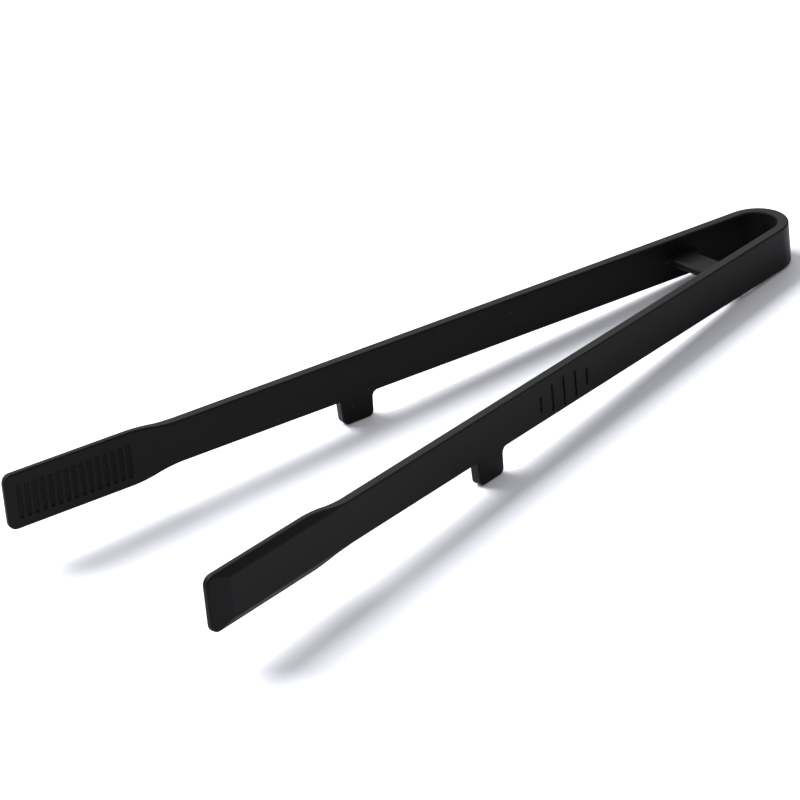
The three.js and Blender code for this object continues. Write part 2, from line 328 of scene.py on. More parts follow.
@dataclass(frozen=True)
class Strip:
    """The flat strip that the bow and both arms are made of, in millimetres."""

    width: float = 13.7  # its width, which stands upright
    thickness: float = 3.6  # its thickness
    edge_radius: float = 0.6  # the rounding of its long edges
    edge_segments: int = 5  # the straight steps in that rounding
    skin_on_faces: float = 0.7  # how thick the skin is on its faces
    skin_on_edges: float = 1.2  # how thick the skin is on its edges
    first_inset: float = 0.2  # how far the section is inset before the inset is stretched to the core's room

    @property
    def half(self) -> float:
        """Half the thickness, which is how far each face is from the middle."""
        return self.thickness / 2

    @property
    def middle(self) -> float:
        """How high the middle of the strip is above its lower edge."""
        return self.width / 2

    def section(self, bm: BMesh, along: float) -> list[BMFace]:
        """Draws the strip's hollow cross-section.

        Args:
            bm: The mesh being built.
            along: How far along the arm the section is.

        Returns:
            The faces of the skin, as a ring round the core's room.
        """
        corners = bmesh.ops.create_grid(bm, x_segments=1, y_segments=1, size=0.5)["verts"]
        size = Matrix.Diagonal((self.thickness, self.width, 1.0, 1.0))
        upright = Matrix(((0, 0, 1, along), (1, 0, 0, 0), (0, 1, 0, self.middle), (0, 0, 0, 1)))
        bmesh.ops.transform(bm, matrix=upright @ size, verts=corners)
        for corner in corners:
            round_corner(bm, corner, self.edge_radius, self.edge_segments)
        face = max(bm.faces, key=lambda item: item.calc_area())
        ring = bmesh.ops.inset_individual(bm, faces=[face], thickness=self.first_inset)["faces"]
        room = Matrix.Diagonal((1.0, self.room_share(self.thickness, self.skin_on_faces),
                                self.room_share(self.width, self.skin_on_edges), 1.0))
        centre = Matrix.Translation((along, 0.0, self.middle))
        bmesh.ops.transform(bm, matrix=centre @ room @ centre.inverted(), verts=face.verts)
        bmesh.ops.delete(bm, geom=[face], context="FACES_ONLY")
        return ring

    def room_share(self, size: float, skin: float) -> float:
        """How much the inset is stretched so that the skin beside it has its thickness."""
        return (size - 2 * skin) / (size - 2 * self.first_inset)

    def sleeve(self, stations: list[float]) -> BMesh:
        """Makes a straight length of hollow skin, with a ring of vertices at each station.

        Args:
            stations: How far along the arm each ring is, from the bow outwards.

        Returns:
            The skin.
        """
        bm = bmesh.new()
        ring = self.section(bm, stations[0])
        for last, station in zip(stations, stations[1:]):
            ring = grow(bm, ring, Matrix.Translation((station - last, 0.0, 0.0)))
        return bm

    def room(self, start: float, end: float) -> BMesh:
        """Makes the core's room between two places along an arm.

        Args:
            start: Where the room starts.
            end: Where it ends.

        Returns:
            The solid to cut with.
        """
        bm = bmesh.new()
        depth = self.half - self.skin_on_faces
        block(bm, Vector((start, -depth, self.skin_on_edges)),
              Vector((end, depth, self.width - self.skin_on_edges)))
        return bm

    def plate(self, bm: BMesh, face: BMFace, is_seam: Callable[[Vector], bool]) -> None:
        """Gives a side outline the strip's thickness and rounds its edges all round.

        Args:
            bm: The mesh being built.
            face: The outline, at the middle of the strip.
            is_seam: Says whether a point is on a cut end, which keeps its sharp edges.
        """
        bmesh.ops.translate(bm, verts=face.verts, vec=(0.0, -self.half, 0.0))
        grow(bm, [face], Matrix.Translation((0.0, self.thickness, 0.0)))
        rims = [edge for edge in bm.edges
                if abs(edge.verts[0].co.y - edge.verts[1].co.y) < LEVEL_GAP
                and not is_seam((edge.verts[0].co + edge.verts[1].co) / 2)]
        round_edges(bm, rims, self.edge_radius, self.edge_segments)


# ---------------------------------------------------------------- finishes


class ShaderGroup:
    """A shader node group with named inputs and outputs, built once and placed in each material.

    Attributes:
        tree: The group's node tree.
        inlet: Its input node.
        outlet: Its output node.
    """

    def __init__(self, name: str, inputs: dict[str, tuple[str, float | None]],
                 outputs: dict[str, str]) -> None:
        """Makes an empty group.

        Args:
            name: The group's name.
            inputs: Each input's socket type and its default, or None for none.
            outputs: Each output's socket type.
        """
        self.tree = bpy.data.node_groups.new(name, "ShaderNodeTree")
        for label, (kind, default) in inputs.items():
            socket = self.tree.interface.new_socket(name=label, in_out="INPUT", socket_type=kind)
            if default is not None:
                socket.default_value = default
        for label, kind in outputs.items():
            self.tree.interface.new_socket(name=label, in_out="OUTPUT", socket_type=kind)
        self.inlet = self.tree.nodes.new("NodeGroupInput")
        self.outlet = self.tree.nodes.new("NodeGroupOutput")

    def node(self, kind: str, **settings: object) -> bpy.types.Node:
        """Adds a node to the group and sets its properties."""
        return add_node(self.tree, kind, **settings)

    def link(self, start: bpy.types.NodeSocket, end: bpy.types.NodeSocket) -> None:
        """Joins two sockets inside the group."""
        self.tree.links.new(start, end)

    def place(self, tree: bpy.types.NodeTree, **values: float) -> bpy.types.Node:
        """Places the group in a material.

        Args:
            tree: The material's node tree.
            values: The inputs' values, with spaces in their names written as underscores.

        Returns:
            The group's node.
        """
        node = tree.nodes.new("ShaderNodeGroup")
        node.node_tree = self.tree
        for label, value in values.items():
            node.inputs[label.replace("_", " ").capitalize()].default_value = value
        return node


def add_node(tree: bpy.types.NodeTree, kind: str, **settings: object) -> bpy.types.Node:
    """Adds a node to a tree and sets its properties.

    Args:
        tree: The node tree.
        kind: The node's type.
        settings: The properties to set.

    Returns:
        The node.
    """
    node = tree.nodes.new(kind)
    for label, value in settings.items():
        setattr(node, label, value)
    return node


def map_range(tree: bpy.types.NodeTree, source: bpy.types.NodeSocket, low: float, high: float,
              to_low: float, to_high: float, smooth: bool = False) -> bpy.types.NodeSocket:
    """Maps a value from one range to another, held within it.

    Args:
        tree: The node tree.
        source: The value.
        low: The start of its range.
        high: The end of its range.
        to_low: What the start becomes.
        to_high: What the end becomes.
        smooth: Whether the change eases in and out.

    Returns:
        The new value's socket.
    """
    node = add_node(tree, "ShaderNodeMapRange", clamp=True,
                    interpolation_type="SMOOTHSTEP" if smooth else "LINEAR")
    for label, value in (("From Min", low), ("From Max", high), ("To Min", to_low), ("To Max", to_high)):
        node.inputs[label].default_value = value
    tree.links.new(source, node.inputs["Value"])
    return node.outputs["Result"]


def combine(tree: bpy.types.NodeTree, operation: str, first: bpy.types.NodeSocket,
            second: bpy.types.NodeSocket | float) -> bpy.types.NodeSocket:
    """Combines two values with a Math node.

    Args:
        tree: The node tree.
        operation: The Math node's operation.
        first: The first value's socket.
        second: The second value, or its socket.

    Returns:
        The result's socket.
    """
    node = add_node(tree, "ShaderNodeMath", operation=operation)
    tree.links.new(first, node.inputs[0])
    if isinstance(second, bpy.types.NodeSocket):
        tree.links.new(second, node.inputs[1])
    else:
        node.inputs[1].default_value = second
    return node.outputs[0]


def moulded_grain() -> ShaderGroup:
    """Makes the fine even texture that a spark-eroded mould leaves, as a height from 0 to 1.

    Returns:
        The group, with the grain's size and its unevenness as inputs.
    """
    group = ShaderGroup("moulded_grain",
                        {"Place": ("NodeSocketVector", None), "Scale": ("NodeSocketFloat", 5200.0),
                         "Waviness": ("NodeSocketFloat", 0.25)},
                        {"Height": "NodeSocketFloat"})
    pits = group.node("ShaderNodeTexNoise", noise_dimensions="3D")
    pits.inputs["Detail"].default_value = 2.0
    pits.inputs["Roughness"].default_value = 0.55
    group.link(group.inlet.outputs["Place"], pits.inputs["Vector"])
    group.link(group.inlet.outputs["Scale"], pits.inputs["Scale"])
    waves = group.node("ShaderNodeTexNoise", noise_dimensions="3D")
    waves.inputs["Scale"].default_value = 260.0
    waves.inputs["Detail"].default_value = 1.0
    group.link(group.inlet.outputs["Place"], waves.inputs["Vector"])
    lift = combine(group.tree, "MULTIPLY", waves.outputs["Fac"], group.inlet.outputs["Waviness"])
    group.link(combine(group.tree, "ADD", pits.outputs["Fac"], lift), group.outlet.inputs["Height"])
    return group


def settled_dust() -> ShaderGroup:
    """Makes the pale specks that cling to rubber, as a mask.

    Returns:
        The group, with the specks' spacing, size and share as inputs.
    """
    group = ShaderGroup("settled_dust",
                        {"Place": ("NodeSocketVector", None), "Scale": ("NodeSocketFloat", 800.0),
                         "Size": ("NodeSocketFloat", 0.14), "Share": ("NodeSocketFloat", 0.25)},
                        {"Mask": "NodeSocketFloat"})
    cells = group.node("ShaderNodeTexVoronoi", voronoi_dimensions="3D", feature="F1")
    group.link(group.inlet.outputs["Place"], cells.inputs["Vector"])
    group.link(group.inlet.outputs["Scale"], cells.inputs["Scale"])
    chance = group.node("ShaderNodeSeparateColor")
    group.link(cells.outputs["Color"], chance.inputs["Color"])
    size = combine(group.tree, "MULTIPLY", chance.outputs["Green"], group.inlet.outputs["Size"])
    speck = combine(group.tree, "LESS_THAN", cells.outputs["Distance"], size)
    kept = combine(group.tree, "LESS_THAN", chance.outputs["Red"], group.inlet.outputs["Share"])
    group.link(combine(group.tree, "MULTIPLY", speck, kept), group.outlet.inputs["Mask"])
    return group


def handled_bloom() -> ShaderGroup:
    """Makes the soft uneven bloom of handled rubber, as a value from 0 to 1.

    Returns:
        The group, with the size of the patches as an input.
    """
    group = ShaderGroup("handled_bloom",
                        {"Place": ("NodeSocketVector", None), "Scale": ("NodeSocketFloat", 55.0)},
                        {"Value": "NodeSocketFloat"})
    patches = group.node("ShaderNodeTexNoise", noise_dimensions="3D")
    patches.inputs["Detail"].default_value = 4.0
    patches.inputs["Roughness"].default_value = 0.6
    patches.inputs["Distortion"].default_value = 0.4
    group.link(group.inlet.outputs["Place"], patches.inputs["Vector"])
    group.link(group.inlet.outputs["Scale"], patches.inputs["Scale"])
    group.link(map_range(group.tree, patches.outputs["Fac"], 0.32, 0.68, 0.0, 1.0, True),
               group.outlet.inputs["Value"])
    return group


class Effects:
    """The shader groups that the finishes share, each built once."""

    def __init__(self) -> None:
        """Builds the groups."""
        self.grain = moulded_grain()
        self.dust = settled_dust()
        self.bloom = handled_bloom()


@dataclass(frozen=True)
class Moulded:
    """A moulded finish: black rubber or plastic with a grain, a bloom and some dust."""

    name: str  # the material's name
    deep: tuple[float, float, float]  # its colour where the bloom is weakest, as linear red, green and blue
    pale: tuple[float, float, float]  # its colour where the bloom is strongest
    smooth: float  # the lowest roughness of its faces
    rough: float  # the highest
    edge_scuff: float  # how much rougher its rounded edges are
    grain_scale: float  # how many grains there are to a metre
    grain_depth: float  # how deep the grain is, in metres
    dust_share: float  # the share of places that hold a speck
    ior: float  # its index of refraction
    shine: float  # the strength of its reflections, where 0.5 is plain
    sheen: float  # the weight of its powdery sheen

    def material(self, effects: Effects) -> bpy.types.Material:
        """Builds the material.

        Args:
            effects: The shader groups.

        Returns:
            The material.
        """
        material = bpy.data.materials.new(self.name)
        material.use_nodes = True
        tree = material.node_tree
        shader = tree.nodes["Principled BSDF"]
        shader.inputs["IOR"].default_value = self.ior
        shader.inputs["Specular IOR Level"].default_value = self.shine
        shader.inputs["Sheen Weight"].default_value = self.sheen
        shader.inputs["Sheen Roughness"].default_value = SHEEN_ROUGHNESS
        place = tree.nodes.new("ShaderNodeTexCoord").outputs["Object"]
        bloom = effects.bloom.place(tree)
        dust = effects.dust.place(tree, share=self.dust_share)
        grain = effects.grain.place(tree, scale=self.grain_scale)
        for node in (bloom, dust, grain):
            tree.links.new(place, node.inputs["Place"])
        self.colour(tree, shader, bloom.outputs["Value"], dust.outputs["Mask"])
        self.gloss(tree, shader, bloom.outputs["Value"], dust.outputs["Mask"])
        bump = add_node(tree, "ShaderNodeBump")
        bump.inputs["Distance"].default_value = self.grain_depth
        tree.links.new(grain.outputs["Height"], bump.inputs["Height"])
        tree.links.new(bump.outputs["Normal"], shader.inputs["Normal"])
        material.diffuse_color = (*self.pale, 1.0)
        return material

    def colour(self, tree: bpy.types.NodeTree, shader: bpy.types.Node, bloom: bpy.types.NodeSocket,
               dust: bpy.types.NodeSocket) -> None:
        """Mixes the base colour from the bloom and the dust.

        Args:
            tree: The material's node tree.
            shader: Its shader.
            bloom: The bloom's value.
            dust: The dust's mask.
        """
        body = add_node(tree, "ShaderNodeMix", data_type="RGBA")
        body.inputs["A"].default_value = (*self.deep, 1.0)
        body.inputs["B"].default_value = (*self.pale, 1.0)
        tree.links.new(bloom, body.inputs["Factor"])
        dusty = add_node(tree, "ShaderNodeMix", data_type="RGBA")
        dusty.inputs["B"].default_value = DUST_COLOUR
        tree.links.new(dust, dusty.inputs["Factor"])
        tree.links.new(body.outputs["Result"], dusty.inputs["A"])
        tree.links.new(dusty.outputs["Result"], shader.inputs["Base Color"])

    def gloss(self, tree: bpy.types.NodeTree, shader: bpy.types.Node, bloom: bpy.types.NodeSocket,
              dust: bpy.types.NodeSocket) -> None:
        """Sets the roughness from the bloom, the scuffed edges and the dust.

        Args:
            tree: The material's node tree.
            shader: Its shader.
            bloom: The bloom's value.
            dust: The dust's mask.
        """
        edge = add_node(tree, "ShaderNodeAttribute", attribute_name=WORN_EDGE)
        face = map_range(tree, bloom, 0.0, 1.0, self.smooth, self.rough)
        scuff = combine(tree, "MULTIPLY", edge.outputs["Fac"], self.edge_scuff)
        worn = combine(tree, "ADD", face, scuff)
        powder = combine(tree, "MULTIPLY", dust, DUST_ROUGHNESS)
        tree.links.new(combine(tree, "ADD", worn, powder), shader.inputs["Roughness"])


SKIN_FINISH = Moulded(
    name="black_silicone", deep=(0.0032, 0.0033, 0.0035), pale=(0.005, 0.0051, 0.0054), smooth=0.4,
    rough=0.48, edge_scuff=0.3, grain_scale=5200.0, grain_depth=0.00002, dust_share=0.05, ior=1.41,
    shine=0.125, sheen=0.01)
JAW_FINISH = replace(SKIN_FINISH, name="black_silicone_jaw")
CORE_FINISH = Moulded(
    name="glass_filled_nylon", deep=(0.006, 0.006, 0.0065), pale=(0.014, 0.014, 0.015), smooth=0.36,
    rough=0.58, edge_scuff=0.0, grain_scale=2600.0, grain_depth=0.00003, dust_share=0.0, ior=1.53,
    shine=0.5, sheen=0.0)
DUST_COLOUR = (0.07, 0.07, 0.068, 1.0)
DUST_ROUGHNESS = 0.3  # how much rougher a speck of dust is
SHEEN_ROUGHNESS = 0.45


class Finisher:
    """Dresses new pieces, and the CAD nodes that stay, in their finishes."""

    def __init__(self) -> None:
        """Builds each finish's material once."""
        effects = Effects()
        self.materials = {
            Slot.SKIN: SKIN_FINISH.material(effects),
            Slot.JAW: JAW_FINISH.material(effects),
            Slot.CORE: CORE_FINISH.material(effects),
        }

    def dress(self, piece: bpy.types.Object, slot: Slot) -> None:
        """Gives a new piece the material of its slot."""
        piece.data.materials.append(self.materials[slot])

    def dress_node(self, name: str, slot: Slot) -> None:
        """Gives a CAD node that stays its material."""
        for place in frame["nodes"][name].material_slots:
            place.material = self.materials[slot]


def report(piece: bpy.types.Object, body: str) -> None:
    """Logs one piece's name, its body and how many faces it has."""
    log.info("%s on %s: %d faces", piece.name, body, len(piece.data.polygons))


@dataclass
class Skin:
    """A piece of the skin, in millimetres."""

    setting: Setting  # where the frames lie
    strip: Strip  # the strip that it is made of or meets


@dataclass
class ArmSkin(Skin):
    """A piece of an arm's skin."""

    side: Side  # the arm that it is on

    def arm_piece(self, bm: BMesh, part: str) -> bpy.types.Object:
        """Turns a mesh in the arm's frame into a piece named for the arm.

        Args:
            bm: The mesh. It is freed.
            part: The rest of the piece's name.

        Returns:
            The piece.
        """
        place = self.setting.arm(self.side)
        return make_piece(bm, f"{self.side.label}_{part}", place, Vector((1.0, 0.0, 0.0)))


# ---------------------------------------------------------------- the head


@dataclass
class SpringBow(Skin):
    """The round bow and the start of both arms, as one length of skin."""

    web: "BridgeWeb"  # the web whose core passes through its inner walls
    leg: float = 30.0  # how far it runs along each arm
    arc_steps: int = 44  # the straight steps round the bow

    def mesh(self) -> BMesh:
        """Sweeps the strip's section down the left leg, round the bow and up the right leg.

        Returns:
            The mesh, in the level frame.
        """
        bm = bmesh.new()
        ring = self.strip.section(bm, self.leg)
        left = self.setting.arm_in_level(Side.LEFT)
        bmesh.ops.transform(bm, matrix=left, verts=bm.verts)
        heading = left.to_3x3() @ Vector((1.0, 0.0, 0.0))
        ring = grow(bm, ring, Matrix.Translation(-heading * self.leg))
        edges = {edge for face in ring for edge in face.edges}
        verts = {vert for face in ring for vert in face.verts}
        turned = bmesh.ops.spin(bm, geom=[*ring, *edges, *verts], cent=(0.0, 0.0, 0.0),
                                axis=(0.0, 0.0, 1.0), angle=math.pi - 2 * self.setting.splay,
                                steps=self.arc_steps, use_merge=False, use_duplicate=False)["geom_last"]
        ring = [item for item in turned if isinstance(item, BMFace)]
        grow(bm, ring, Matrix.Translation(Vector((heading.x, -heading.y, 0.0)) * self.leg))
        return carve(bm, [self.web.core_window()])

    def build(self, finisher: Finisher) -> None:
        """Builds, dresses and places the bow.

        Args:
            finisher: What dresses it.
        """
        piece = make_piece(self.mesh(), "bow_skin", self.setting.level())
        finisher.dress(piece, Slot.SKIN)
        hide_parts("spring_bow_skin")
        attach(piece, "head")
        report(piece, "head")
        finisher.dress_node("spring_bow_core", Slot.CORE)


@dataclass
class BridgeWeb(Skin):
    """The thin web that ties both arms together just in front of the bow."""

    back: float = 18.0  # where its edge towards the bow is
    front: float = 27.0  # where its edge towards the jaws is
    back_corner: float = 14.0  # where its concave back corner meets the arm
    front_corner: float = 29.5  # where its concave front corner meets the arm
    bite: float = 0.06  # how far its ends reach into the arms' skin
    thickness: float = 2.7  # its thickness
    edge_radius: float = 1.1  # the rounding of its free edges
    core_thickness: float = 1.2  # the thickness of the core plate inside it
    core_inset: float = 1.2  # how far the core plate stays inside its edges
    gap: float = 0.25  # the room round the core plate
    parting: float = 0.16  # how wide the parting line round its edge is
    parting_height: float = 0.07  # how far the parting line stands out
    corner_share: float = 0.98  # the share of the room at a corner that its rounding takes

    def wall(self, x: float, offset: float) -> float:
        """The level frame's Y of the left arm's surface.

        Args:
            x: Where along the level frame's X.
            offset: How far from the middle of the strip the surface is.

        Returns:
            The surface's Y.
        """
        radius = self.setting.bow_radius + offset
        splay = self.setting.splay
        along = (x + radius * math.sin(splay)) / math.cos(splay)
        return along * math.sin(splay) + radius * math.cos(splay)

    def core_window(self) -> BMesh:
        """Makes the room that the core plate takes through both inner walls.

        Returns:
            The solid to cut with, in the level frame.
        """
        bm = bmesh.new()
        half = self.core_thickness / 2 + self.gap
        back = self.back + self.core_inset - self.gap
        front = self.front - self.core_inset + self.gap
        verts = block(bm, Vector((back, -1.0, self.strip.middle - half)),
                      Vector((front, 1.0, self.strip.middle + half)))
        for vert in verts:
            vert.co.y *= self.wall(vert.co.x, 0.0)
        return bm

    def mesh(self) -> BMesh:
        """Raises the plan outline, rounds its free edges and adds the parting line.

        Returns:
            The mesh, in the level frame.
        """
        bm = bmesh.new()
        face, inside = -self.strip.half, self.bite - self.strip.half
        left = [(self.back, self.wall(self.back, face)),
                (self.back_corner, self.wall(self.back_corner, inside)),
                (self.front_corner, self.wall(self.front_corner, inside)),
                (self.front, self.wall(self.front, face))]
        corners, _ = outline_face(bm, left + [(x, -y) for x, y in reversed(left)])
        for index, room in ((0, self.back - self.back_corner), (7, self.back - self.back_corner),
                            (3, self.front_corner - self.front), (4, self.front_corner - self.front)):
            round_corner(bm, corners[index], room * self.corner_share, 8)
        flat = Matrix(((1, 0, 0, 0), (0, 0, 1, 0), (0, 1, 0, self.strip.middle - self.thickness / 2),
                       (0, 0, 0, 1)))
        bmesh.ops.transform(bm, matrix=flat, verts=bm.verts)
        face = bm.faces[:][0]
        grow(bm, [face], Matrix.Translation((0.0, 0.0, self.thickness)))
        free = [edge for edge in bm.edges
                if abs(edge.verts[0].co.z - edge.verts[1].co.z) < LEVEL_GAP and not self.at_wall(edge)]
        round_edges(bm, free, self.edge_radius, 5)
        self.raise_parting_line(bm)
        bmesh.ops.recalc_face_normals(bm, faces=bm.faces)
        return carve(bm, [self.core_window()])

    def at_wall(self, edge: BMEdge) -> bool:
        """Whether an edge of the outline lies against an arm."""
        inside = self.bite - self.strip.half
        return all(abs(abs(vert.co.y) - self.wall(vert.co.x, inside)) < 10 * TOUCH_GAP for vert in edge.verts)

    def raise_parting_line(self, bm: BMesh) -> None:
        """Raises the thin line that the mould's two halves leave round the free edges.

        Args:
            bm: The mesh being built.
        """
        for up in (-1, 1):
            bmesh.ops.bisect_plane(bm, geom=[*bm.verts, *bm.edges, *bm.faces],
                                   plane_co=(0.0, 0.0, self.strip.middle + up * self.parting / 2),
                                   plane_no=(0.0, 0.0, 1.0))
        line = [face for face in bm.faces
                if abs(face.calc_center_median().z - self.strip.middle) < self.parting / 2
                and abs(face.normal.x) > 0.3]
        made = bmesh.ops.extrude_face_region(bm, geom=line)["geom"]
        centre = (self.back + self.front) / 2
        for vert in (item for item in made if isinstance(item, BMVert)):
            vert.co.x += math.copysign(self.parting_height, vert.co.x - centre)

    def build(self, finisher: Finisher) -> None:
        """Builds, dresses and places the web.

        Args:
            finisher: What dresses it.
        """
        piece = make_piece(self.mesh(), "web_skin", self.setting.level())
        finisher.dress(piece, Slot.SKIN)
        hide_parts("bridge_web_skin")
        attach(piece, "head")
        report(piece, "head")


# ---------------------------------------------------------------- the arms


@dataclass
class BendingSkin(ArmSkin):
    """A straight length of skin over one of an arm's bends."""

    bend: Bend  # the bend that it covers
    start: float  # where it starts along the arm
    end: float  # where it ends
    turn_start: float  # where the arm's bend starts
    turn_end: float  # where the arm's bend ends
    step: float = 1.5  # the longest distance between its rings of vertices

    def bodies(self) -> tuple[str, str]:
        """The bodies on each side of the bend, from the bow outwards."""
        neck = f"{self.side.label}_neck"
        return ("head", neck) if self.bend is Bend.ROOT else (neck, f"{self.side.label}_arm")

    def build(self, finisher: Finisher) -> None:
        """Builds, dresses and places the skin.

        Args:
            finisher: What dresses it.
        """
        count = math.ceil((self.end - self.start) / self.step)
        stations = [self.start + (self.end - self.start) * index / count for index in range(count + 1)]
        piece = self.arm_piece(self.strip.sleeve(stations), f"{self.bend.value}_bend_skin")
        finisher.dress(piece, Slot.SKIN)
        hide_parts(f"{self.side.label}_neck_skin")
        near, far = self.bodies()
        place = self.setting.arm(self.side)
        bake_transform(piece)
        report(piece, f"{near} and {far}")


@dataclass
class GripArm(ArmSkin):
    """The straight length of an arm with its grip slits and its foot."""

    start: float = 90.0  # where it starts along the arm
    end: float = 205.0  # where it ends
    foot_start: float = 138.3  # where the foot starts at the arm's lower edge
    foot_length: float = 11.6  # how long the foot is there
    foot_height: float = 8.05  # how far it reaches below the arm
    foot_draft: float = 0.35  # how much narrower it is at its sole, at each end
    foot_corner: float = 1.8  # the rounding of the sole's ends
    back_fillet: float = 1.8  # the fillet between the arm and the foot, towards the bow
    front_fillet: float = 0.6  # the same, towards the jaw
    slit_count: int = 5  # how many grip slits there are
    slit_middle: float = 109.0  # where the middle slit is
    slit_pitch: float = 5.45  # the distance between slits
    slit_height: float = 6.05  # how high the slits' middles are
    slit_longest: float = 9.7  # the length of the middle slit
    slit_ellipse: float = 12.8  # half the length of the ellipse that the slits' ends follow
    slit_width: float = 1.0  # the width of a slit
    slit_depth: float = 0.4  # the depth of a slit
    slit_round: float = 0.48  # the share of a slit's width that each of its corners' rounding takes
    slit_lip: float = 0.2  # the rounding of a slit's lips
    overcut: float = 1.0  # how far the cuts reach past the faces that they open

    def body(self) -> BMesh:
        """Makes the arm and its foot as one plate with rounded edges.

        Returns:
            The plate, in the arm's frame.
        """
        bm = bmesh.new()
        front = self.foot_start + self.foot_length
        points = [(self.start, 0.0), (self.foot_start, 0.0),
                  (self.foot_start + self.foot_draft, -self.foot_height),
                  (front - self.foot_draft, -self.foot_height), (front, 0.0), (self.end, 0.0),
                  (self.end, self.strip.width), (self.start, self.strip.width)]
        corners, _ = outline_face(bm, points)
        for index, reach in ((1, self.back_fillet), (2, self.foot_corner), (3, self.foot_corner),
                             (4, self.front_fillet)):
            round_corner(bm, corners[index], reach, 6)
        self.strip.plate(bm, bm.faces[:][0], self.at_seam)
        return bm

    def at_seam(self, point: Vector) -> bool:
        """Whether a point is on one of the plate's cut ends."""
        return min(abs(point.x - self.start), abs(point.x - self.end)) < TOUCH_GAP

    def slit_cutter(self) -> BMesh:
        """Makes the solids that cut the slits, which shorten away from the middle one.

        Returns:
            The solids to cut with.
        """
        bm = bmesh.new()
        for index in range(self.slit_count):
            offset = (index - (self.slit_count - 1) / 2) * self.slit_pitch
            length = self.slit_longest * math.sqrt(1 - (offset / self.slit_ellipse) ** 2)
            x = self.slit_middle + offset
            half = Vector((self.slit_width / 2, 0.0, length / 2))
            middle = Vector((x, self.strip.half, self.slit_height))
            verts = block(bm, middle - half - Vector((0.0, self.slit_depth, 0.0)),
                          middle + half + Vector((0.0, self.overcut, 0.0)))
            across = [edge for edge in bm.edges
                      if all(vert in verts for vert in edge.verts)
                      and abs(edge.verts[0].co.y - edge.verts[1].co.y) > self.overcut]
            round_edges(bm, across, self.slit_width * self.slit_round, 5)
        return bm

    def on_slit_lip(self, point: Vector) -> bool:
        """Whether a point is on the outer face, round the slits."""
        reach = self.slit_pitch * self.slit_count / 2
        return abs(point.y - self.strip.half) < TOUCH_GAP and abs(point.x - self.slit_middle) < reach

    def mesh(self) -> BMesh:
        """Cuts the core's room and the slits from the body, and softens the slits' lips.

        Returns:
            The mesh, in the arm's frame.
        """
        room = self.strip.room(self.start - self.overcut, self.end + self.overcut)
        bm = carve(self.body(), [room, self.slit_cutter()])
        soften_lips(bm, self.on_slit_lip, self.slit_lip)
        return bm

    def build(self, finisher: Finisher) -> None:
        """Builds, dresses and places the arm.

        Args:
            finisher: What dresses it.
        """
        label = self.side.label
        piece = self.arm_piece(self.mesh(), "grip_skin")
        finisher.dress(piece, Slot.SKIN)
        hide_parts(f"{label}_arm_skin", f"{label}_foot")
        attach(piece, f"{label}_arm")
        report(piece, f"{label}_arm")
        for core in (f"{label}_neck_core", f"{label}_arm_core"):
            finisher.dress_node(core, Slot.CORE)


